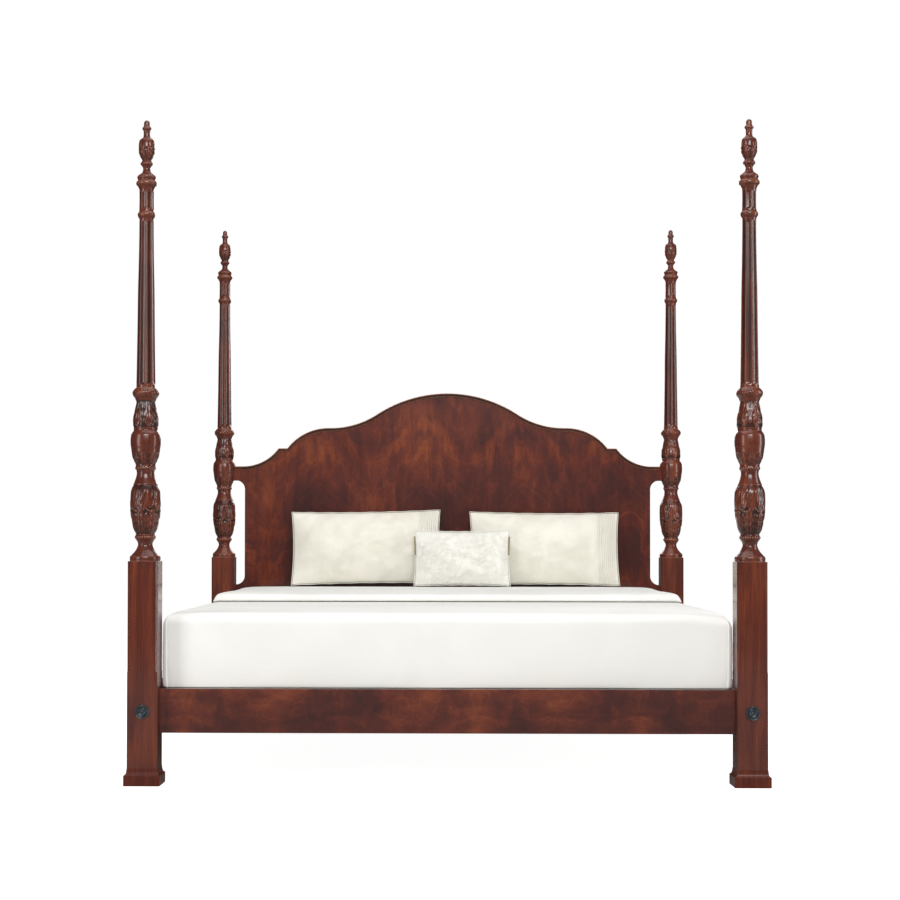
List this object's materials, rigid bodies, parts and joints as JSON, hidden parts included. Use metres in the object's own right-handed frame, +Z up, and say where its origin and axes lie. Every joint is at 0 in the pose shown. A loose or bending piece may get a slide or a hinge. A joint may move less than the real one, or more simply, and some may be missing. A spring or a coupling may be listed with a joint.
{
  "type": "four poster bed",
  "caption": "King-size four-poster bed with turned and carved mahogany posts, urn finials, an arched flame-veneer headboard, low rails with covered bed bolts, and made-up bedding.",
  "frame": {"origin": "on the floor, midway between the four posts", "axes": "+Z up; +Y to the headboard; +X to the right of someone who stands at the foot and looks at the headboard"},
  "size_m": [2.158, 2.242, 2.2446],
  "materials": {
    "mahogany": "glossy lacquer over red-brown stain",
    "carved_mahogany": "glossy lacquer with darker glaze in the carving",
    "flame_mahogany": "glossy lacquer over figured veneer",
    "pine": "planed, unfinished",
    "bronze": "dark bronze patina, polished on the raised rings",
    "zinc_steel": "zinc plated",
    "foundation_ticking": "plain woven ticking",
    "white_percale": "smooth plain weave",
    "duvet_cotton": "smooth plain weave over soft filling",
    "sham_cream": "satin weave with a tailored edge",
    "lumbar_ivory": "raised floral jacquard"
  },
  "bodies": {
    "bedstead": {"plinth_foot_left": "mahogany", "lower_post_foot_left": "carved_mahogany", "upper_post_foot_left": "carved_mahogany", "plinth_foot_right": "mahogany", "lower_post_foot_right": "carved_mahogany", "upper_post_foot_right": "carved_mahogany", "plinth_head_left": "mahogany", "lower_post_head_left": "carved_mahogany", "upper_post_head_left": "carved_mahogany", "plinth_head_right": "mahogany", "lower_post_head_right": "carved_mahogany", "upper_post_head_right": "carved_mahogany", "bed_bolt_side_rail_foot_left": "zinc_steel", "cover_pin_side_rail_foot_left": "bronze", "bed_bolt_foot_rail_foot_left": "zinc_steel", "cover_pin_foot_rail_foot_left": "bronze", "bed_bolt_side_rail_foot_right": "zinc_steel", "cover_pin_side_rail_foot_right": "bronze", "bed_bolt_foot_rail_foot_right": "zinc_steel", "cover_pin_foot_rail_foot_right": "bronze", "bed_bolt_side_rail_head_left": "zinc_steel", "cover_pin_side_rail_head_left": "bronze", "bed_bolt_side_rail_head_right": "zinc_steel", "cover_pin_side_rail_head_right": "bronze", "headboard_panel": "flame_mahogany", "foot_rail": "flame_mahogany", "side_rail_left": "flame_mahogany", "side_rail_right": "flame_mahogany", "headboard_crest_moulding": "mahogany", "headboard_lower_rail": "mahogany", "slat_cleat_left": "pine", "slat_cleat_right": "pine", "centre_rail": "pine", "slat_1": "pine", "slat_2": "pine", "slat_3": "pine", "slat_4": "pine", "slat_5": "pine", "slat_6": "pine", "slat_7": "pine", "centre_rail_bracket_foot": "zinc_steel", "centre_rail_bracket_head": "zinc_steel", "foundation_left": "foundation_ticking", "foundation_right": "foundation_ticking", "mattress": "white_percale", "folded_duvet": "duvet_cotton", "sham_left": "sham_cream", "sham_right": "sham_cream", "lumbar_pillow": "lumbar_ivory"},
    "finial_foot_left": {"finial_foot_left": "carved_mahogany"},
    "finial_foot_right": {"finial_foot_right": "carved_mahogany"},
    "finial_head_left": {"finial_head_left": "carved_mahogany"},
    "finial_head_right": {"finial_head_right": "carved_mahogany"},
    "cover_side_rail_foot_left": {"bolt_cover_side_rail_foot_left": "bronze"},
    "cover_foot_rail_foot_left": {"bolt_cover_foot_rail_foot_left": "bronze"},
    "cover_side_rail_foot_right": {"bolt_cover_side_rail_foot_right": "bronze"},
    "cover_foot_rail_foot_right": {"bolt_cover_foot_rail_foot_right": "bronze"},
    "cover_side_rail_head_left": {"bolt_cover_side_rail_head_left": "bronze"},
    "cover_side_rail_head_right": {"bolt_cover_side_rail_head_right": "bronze"}
  },
  "joints": [
    {"name": "finial_foot_left_lift", "type": "slide", "parent": "bedstead", "child": "finial_foot_left", "axis": [0, 0, 1], "range_m": [0, 0.045]},
    {"name": "finial_foot_right_lift", "type": "slide", "parent": "bedstead", "child": "finial_foot_right", "axis": [0, 0, 1], "range_m": [0, 0.045]},
    {"name": "finial_head_left_lift", "type": "slide", "parent": "bedstead", "child": "finial_head_left", "axis": [0, 0, 1], "range_m": [0, 0.045]},
    {"name": "finial_head_right_lift", "type": "slide", "parent": "bedstead", "child": "finial_head_right", "axis": [0, 0, 1], "range_m": [0, 0.045]},
    {"name": "cover_side_rail_foot_left_swing", "type": "hinge", "parent": "bedstead", "child": "cover_side_rail_foot_left", "pos_m": [-1.018, -1.111, 0.2675], "axis": [0, -1, 0], "continuous": true},
    {"name": "cover_foot_rail_foot_left_swing", "type": "hinge", "parent": "bedstead", "child": "cover_foot_rail_foot_left", "pos_m": [-1.069, -1.06, 0.2675], "axis": [-1, 0, 0], "continuous": true},
    {"name": "cover_side_rail_foot_right_swing", "type": "hinge", "parent": "bedstead", "child": "cover_side_rail_foot_right", "pos_m": [1.018, -1.111, 0.2675], "axis": [0, -1, 0], "continuous": true},
    {"name": "cover_foot_rail_foot_right_swing", "type": "hinge", "parent": "bedstead", "child": "cover_foot_rail_foot_right", "pos_m": [1.069, -1.06, 0.2675], "axis": [1, 0, 0], "continuous": true},
    {"name": "cover_side_rail_head_left_swing", "type": "hinge", "parent": "bedstead", "child": "cover_side_rail_head_left", "pos_m": [-1.018, 1.111, 0.2675], "axis": [0, 1, 0], "continuous": true},
    {"name": "cover_side_rail_head_right_swing", "type": "hinge", "parent": "bedstead", "child": "cover_side_rail_head_right", "pos_m": [1.018, 1.111, 0.2675], "axis": [0, 1, 0], "continuous": true}
  ]
}
